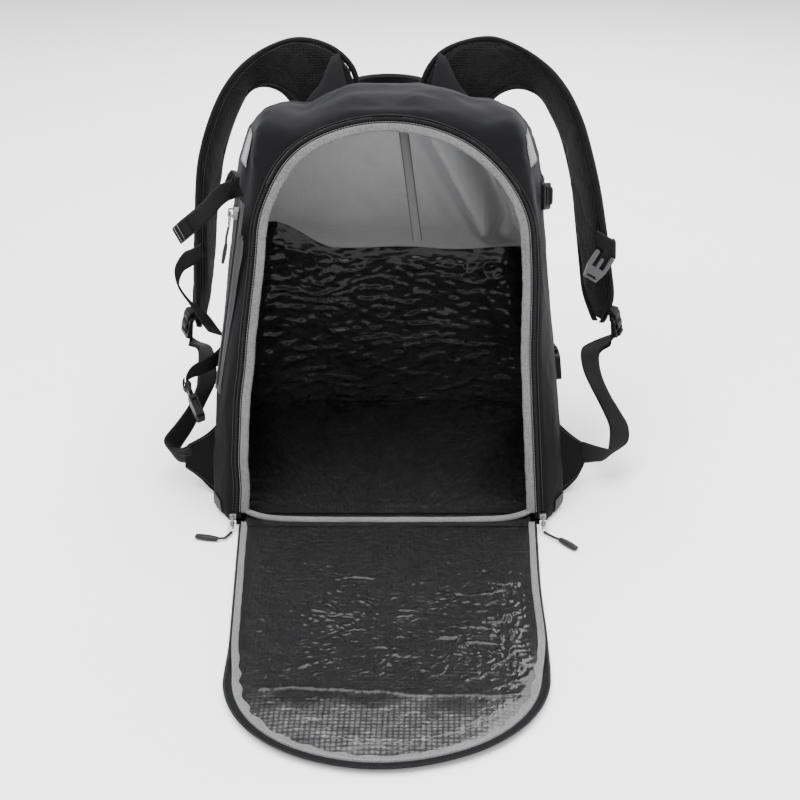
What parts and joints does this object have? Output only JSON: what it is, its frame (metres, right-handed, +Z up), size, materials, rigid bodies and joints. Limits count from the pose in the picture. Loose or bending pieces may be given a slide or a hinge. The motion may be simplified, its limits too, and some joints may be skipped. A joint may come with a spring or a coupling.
{
  "type": "ski boot bag",
  "caption": "Wedge-shaped boot backpack whose arched zipped front folds down as a mat, with shoulder straps, side buckles and a lined main compartment.",
  "frame": {"origin": "on the floor under the middle of the bag's base, with the flap left out", "axes": "+Z up, -Y towards the opening and the open flap, +X to the right as seen from the opening"},
  "size_m": [0.5043, 0.7355, 0.4316],
  "materials": {
    "shell_fabric": "matt black nylon with a fine plain weave",
    "lining_black": "glossy crinkled black woven polyethylene",
    "lining_grey": "soft grey nylon",
    "binding_grey": "grey woven seam tape",
    "webbing_black": "ribbed black webbing",
    "mesh_black": "three-dimensional air mesh",
    "patch_charcoal": "charcoal nylon",
    "reflective_grey": "grey semi-reflective fabric",
    "zip_tape": "black woven zip tape",
    "zip_coil": "black moulded zip coil",
    "hardware": "moulded acetal with a fine grain",
    "nickel": "nickel plated zinc",
    "puller_rubber": "black moulded rubber",
    "foam": "closed cell foam",
    "board": "polyethylene board"
  },
  "bodies": {
    "bag": {"front_frame": "shell_fabric", "left_side_panel": "shell_fabric", "right_side_panel": "shell_fabric", "top_panel": "shell_fabric", "base_panel": "shell_fabric", "back_panel": "shell_fabric", "left_wing": "shell_fabric", "right_wing": "shell_fabric", "lower_lining": "lining_black", "upper_lining": "lining_grey", "opening_binding": "binding_grey", "hinge_binding": "binding_grey", "lining_seam_tape": "binding_grey", "body_zip_tape": "zip_tape", "pocket_zip_tape": "zip_tape", "body_zip_teeth": "zip_coil", "pocket_zip_teeth": "zip_coil", "back_foam": "foam", "base_board": "board", "corner_patches": "reflective_grey", "left_back_pad": "mesh_black", "right_back_pad": "mesh_black", "left_shoulder_strap": "mesh_black", "right_shoulder_strap": "mesh_black", "left_root_patch": "patch_charcoal", "right_root_patch": "patch_charcoal", "haul_handle": "webbing_black", "left_lower_webbing": "webbing_black", "right_lower_webbing": "webbing_black", "left_upper_strap": "webbing_black", "right_upper_strap": "webbing_black", "left_lower_strap": "webbing_black", "right_lower_strap": "webbing_black", "left_strap_tail": "webbing_black", "left_sternum_webbing": "webbing_black", "right_sternum_webbing": "webbing_black", "left_ladder_lock": "hardware", "right_ladder_lock": "hardware", "left_upper_lock": "hardware", "right_upper_lock": "hardware", "left_buckle_socket": "hardware", "right_buckle_socket": "hardware", "sternum_buckle": "hardware"},
    "flap": {"flap_shell": "shell_fabric", "flap_foam": "foam", "flap_lining": "lining_black", "flap_binding": "binding_grey", "flap_zip_tape": "zip_tape", "flap_zip_teeth": "zip_coil"},
    "left_slider_body": {"left_slider": "nickel"},
    "left_pull": {"left_pull_ring": "nickel", "left_puller": "puller_rubber"},
    "right_slider_body": {"right_slider": "nickel"},
    "right_pull": {"right_pull_ring": "nickel", "right_puller": "puller_rubber"},
    "pocket_slider_body": {"pocket_slider": "nickel"},
    "pocket_pull": {"pocket_pull_ring": "nickel", "pocket_puller": "puller_rubber"},
    "left_prongs": {"left_buckle_prongs": "hardware"},
    "right_prongs": {"right_buckle_prongs": "hardware"}
  },
  "joints": [
    {"name": "flap_hinge", "type": "hinge", "parent": "bag", "child": "flap", "pos_m": [0, -0.15049, 0.0081], "axis": [-1, 0, 0], "range_deg": [0, 102]},
    {"name": "left_zip", "type": "slide", "parent": "bag", "child": "left_slider_body", "axis": [0.0558, 0.2076, 0.9766], "range_m": [0, 0.265]},
    {"name": "left_pull_swing", "type": "hinge", "parent": "left_slider_body", "child": "left_pull", "pos_m": [-0.1555, -0.15763, 0.00962], "axis": [-1, 0, 0], "range_deg": [0, 105]},
    {"name": "right_zip", "type": "slide", "parent": "bag", "child": "right_slider_body", "axis": [-0.0558, 0.2076, 0.9766], "range_m": [0, 0.265]},
    {"name": "right_pull_swing", "type": "hinge", "parent": "right_slider_body", "child": "right_pull", "pos_m": [0.1555, -0.15763, 0.00962], "axis": [-1, 0, 0], "range_deg": [0, 105]},
    {"name": "pocket_zip", "type": "slide", "parent": "bag", "child": "pocket_slider_body", "axis": [-0.1618, 0, -0.9868], "range_m": [0, 0.16]},
    {"name": "pocket_pull_swing", "type": "hinge", "parent": "pocket_slider_body", "child": "pocket_pull", "pos_m": [-0.15153, -0.08477, 0.30762], "axis": [-0.3261, 0.9453, 0], "range_deg": [0, 115]},
    {"name": "left_buckle_release", "type": "slide", "parent": "bag", "child": "left_prongs", "axis": [-0.4156, 0.5527, 0.7224], "range_m": [0, 0.022]},
    {"name": "right_buckle_release", "type": "slide", "parent": "bag", "child": "right_prongs", "axis": [0, 1, 0], "range_m": [0, 0.022]}
  ]
}
